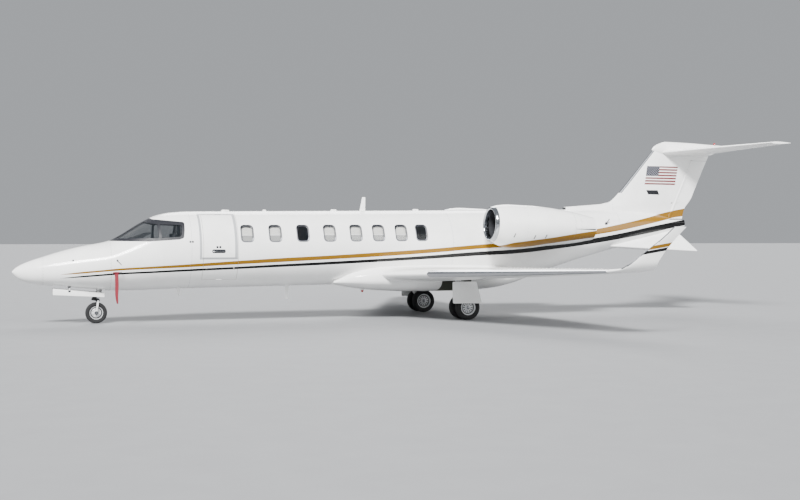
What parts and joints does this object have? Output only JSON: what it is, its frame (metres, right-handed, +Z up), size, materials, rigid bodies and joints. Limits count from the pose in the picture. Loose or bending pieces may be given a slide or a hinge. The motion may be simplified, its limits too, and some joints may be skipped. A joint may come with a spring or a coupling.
{
  "type": "business jet",
  "caption": "Business jet with rear engines, T-tail, winglets and a split cabin door; its wheels, fans, doors and control surfaces move.",
  "frame": {"origin": "on the ground under the middle of the aircraft's length and span", "axes": "+X aft, +Y to starboard, +Z up"},
  "size_m": [17.56, 14.55, 4.33],
  "materials": {
    "white_paint": "gloss",
    "grey_paint": "satin",
    "wheel_metal": "satin",
    "steel": "satin",
    "fan_metal": "satin",
    "nozzle_metal": "satin",
    "tyre": "matte",
    "glass": "polished",
    "leather": "satin",
    "carpet": "matte",
    "black_plastic": "matte",
    "red_fabric": "matte"
  },
  "bodies": {
    "airframe": {"aft_fuselage": "white_paint", "belly_fairing": "white_paint", "cabin_floor": "carpet", "cabin_seats_left": "leather", "cabin_seats_right": "leather", "cabin_shell": "white_paint", "cabin_windows_left": "glass", "cabin_windows_right": "glass", "cockpit_shell": "white_paint", "cockpit_windows_left": "glass", "cockpit_windows_right": "glass", "delta_fin_left": "white_paint", "delta_fin_right": "white_paint", "engine_and_pylon_left": "grey_paint", "engine_and_pylon_right": "grey_paint", "exhaust_nozzle_left": "nozzle_metal", "exhaust_nozzle_right": "nozzle_metal", "fin": "white_paint", "instrument_panel": "black_plastic", "main_gear_door_left": "white_paint", "main_gear_door_right": "white_paint", "main_gear_leg_left": "grey_paint", "main_gear_leg_right": "grey_paint", "nacelle_left": "white_paint", "nacelle_right": "white_paint", "nose_gear_door_left": "white_paint", "nose_gear_door_right": "white_paint", "nose_leg": "steel", "nose_radome": "white_paint", "nose_section": "white_paint", "pilot_seat_left": "leather", "pilot_seat_right": "leather", "pitot_cover_left": "red_fabric", "pitot_cover_right": "red_fabric", "tail_cone": "white_paint", "tailplane": "white_paint", "wing_left": "white_paint", "wing_right": "white_paint", "winglet_left": "white_paint", "winglet_right": "white_paint"},
    "nose_steering": {"nose_fork": "steel"},
    "nose_wheel": {"nose_wheel": "wheel_metal", "nose_tyre": "tyre"},
    "cabin_door_upper": {"cabin_door_upper": "white_paint"},
    "cabin_door_lower": {"cabin_door_lower": "white_paint"},
    "rudder": {"rudder": "white_paint"},
    "main_wheels_left": {"main_wheels_left": "wheel_metal", "main_tyre_left_inner": "tyre", "main_tyre_left_outer": "tyre"},
    "fan_left": {"fan_left": "fan_metal"},
    "flap_left": {"flap_left": "white_paint"},
    "aileron_left": {"aileron_left": "white_paint"},
    "elevator_left": {"elevator_left": "white_paint"},
    "main_wheels_right": {"main_wheels_right": "wheel_metal", "main_tyre_right_inner": "tyre", "main_tyre_right_outer": "tyre"},
    "fan_right": {"fan_right": "fan_metal"},
    "flap_right": {"flap_right": "white_paint"},
    "aileron_right": {"aileron_right": "white_paint"},
    "elevator_right": {"elevator_right": "white_paint"}
  },
  "joints": [
    {"name": "nose_steer", "type": "hinge", "parent": "airframe", "child": "nose_steering", "pos_m": [-7.076, 0, 0.2285], "axis": [0.1044, 0, 0.9945], "range_deg": [-60, 60]},
    {"name": "nose_wheel_spin", "type": "hinge", "parent": "nose_steering", "child": "nose_wheel", "pos_m": [-7.076, 0, 0.2285], "axis": [0, 1, 0], "continuous": true},
    {"name": "door_upper_open", "type": "hinge", "parent": "airframe", "child": "cabin_door_upper", "pos_m": [-4.5375, -0.3726, 2.34376], "axis": [-1, 0, 0], "range_deg": [0, 95]},
    {"name": "door_lower_open", "type": "hinge", "parent": "airframe", "child": "cabin_door_lower", "pos_m": [-4.5375, -0.55879, 0.93187], "axis": [1, 0, 0], "range_deg": [0, 112]},
    {"name": "rudder_turn", "type": "hinge", "parent": "airframe", "child": "rudder", "pos_m": [7.07, 0, 2.336], "axis": [0.4115, 0, 0.9114], "range_deg": [-30, 30]},
    {"name": "main_wheels_left_spin", "type": "hinge", "parent": "airframe", "child": "main_wheels_left", "pos_m": [0.854, -1.425, 0.2795], "axis": [0, 1, 0], "continuous": true},
    {"name": "fan_left_spin", "type": "hinge", "parent": "airframe", "child": "fan_left", "pos_m": [1.505, -1.45, 2.145], "axis": [0.9994, 0, -0.035], "continuous": true},
    {"name": "flap_left_lower", "type": "hinge", "parent": "airframe", "child": "flap_left", "pos_m": [1.2708, -1.12, 1.015], "axis": [-0.1472, 0.9885, -0.0354], "range_deg": [0, 40]},
    {"name": "aileron_left_turn", "type": "hinge", "parent": "airframe", "child": "aileron_left", "pos_m": [1.7458, -4.31, 1.1294], "axis": [-0.1472, 0.9885, -0.0354], "range_deg": [-20, 20]},
    {"name": "elevator_left_turn", "type": "hinge", "parent": "airframe", "child": "elevator_left", "pos_m": [7.8026, -0.13, 4.0125], "axis": [-0.3046, 0.9519, -0.0337], "range_deg": [-20, 15]},
    {"name": "main_wheels_right_spin", "type": "hinge", "parent": "airframe", "child": "main_wheels_right", "pos_m": [0.854, 1.425, 0.2795], "axis": [0, 1, 0], "continuous": true},
    {"name": "fan_right_spin", "type": "hinge", "parent": "airframe", "child": "fan_right", "pos_m": [1.505, 1.45, 2.145], "axis": [0.9994, 0, -0.035], "continuous": true},
    {"name": "flap_right_lower", "type": "hinge", "parent": "airframe", "child": "flap_right", "pos_m": [1.2708, 1.12, 1.015], "axis": [0.1472, 0.9885, 0.0354], "range_deg": [0, 40]},
    {"name": "aileron_right_turn", "type": "hinge", "parent": "airframe", "child": "aileron_right", "pos_m": [1.7458, 4.31, 1.1294], "axis": [0.1472, 0.9885, 0.0354], "range_deg": [-20, 20]},
    {"name": "elevator_right_turn", "type": "hinge", "parent": "airframe", "child": "elevator_right", "pos_m": [7.8026, 0.13, 4.0125], "axis": [0.3046, 0.9519, 0.0337], "range_deg": [-20, 15]}
  ],
  "couplings": [
    {"joint": "flap_right_lower", "follows": "flap_left_lower", "ratio": 1},
    {"joint": "aileron_right_turn", "follows": "aileron_left_turn", "ratio": -1},
    {"joint": "elevator_right_turn", "follows": "elevator_left_turn", "ratio": 1}
  ]
}
